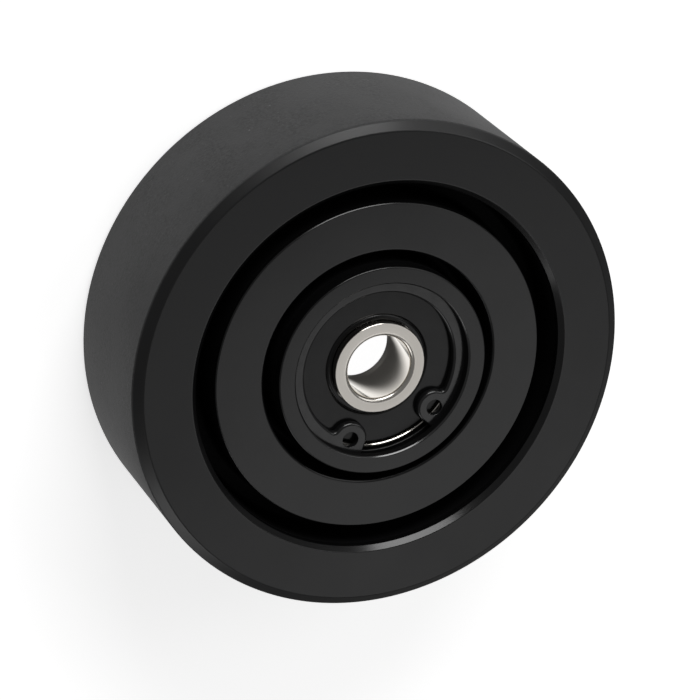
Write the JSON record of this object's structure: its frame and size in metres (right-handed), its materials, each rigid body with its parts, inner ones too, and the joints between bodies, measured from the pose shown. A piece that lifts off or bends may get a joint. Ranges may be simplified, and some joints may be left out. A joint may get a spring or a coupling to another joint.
{
  "type": "rubber wheel",
  "caption": "Solid rubber tyre on a black turned metal centre with ring grooves, running on a sealed ball bearing that an internal retaining ring holds in the hub.",
  "frame": {"origin": "centre of the axle bore, halfway along the bearing", "axes": "+Z along the wheel's axis, out of the side with the retaining ring; -Y through the middle of the retaining ring's gap"},
  "size_m": [0.132, 0.132, 0.0433],
  "materials": {
    "tyre_rubber": "matt ground tread, satin moulded sides",
    "black_metal": "black, satin, turned faces",
    "black_spring_steel": "black oiled phosphate, satin",
    "seal_rubber": "smooth moulded, satin",
    "ring_steel": "ground",
    "ball_steel": "polished",
    "cage_steel": "pressed sheet"
  },
  "bodies": {
    "axle_side": {"bearing_inner_ring": "ring_steel"},
    "wheel": {"tyre": "tyre_rubber", "wheel_centre": "black_metal", "retaining_ring": "black_spring_steel", "bearing_outer_ring": "ring_steel", "seal_front": "seal_rubber", "seal_rear": "seal_rubber"},
    "ball_cage": {"ball_1": "ball_steel", "ball_2": "ball_steel", "ball_3": "ball_steel", "ball_4": "ball_steel", "ball_5": "ball_steel", "ball_6": "ball_steel", "ball_7": "ball_steel", "cage_front": "cage_steel", "cage_rear": "cage_steel", "cage_rivet_1": "cage_steel", "cage_rivet_2": "cage_steel", "cage_rivet_3": "cage_steel", "cage_rivet_4": "cage_steel", "cage_rivet_5": "cage_steel", "cage_rivet_6": "cage_steel", "cage_rivet_7": "cage_steel"}
  },
  "joints": [
    {"name": "wheel_spin", "type": "hinge", "parent": "axle_side", "child": "wheel", "pos_m": [0, 0, 0], "axis": [0, 0, 1], "continuous": true},
    {"name": "cage_spin", "type": "hinge", "parent": "axle_side", "child": "ball_cage", "pos_m": [0, 0, 0], "axis": [0, 0, 1], "continuous": true}
  ],
  "couplings": [
    {"joint": "cage_spin", "follows": "wheel_spin", "ratio": 0.63641}
  ]
}
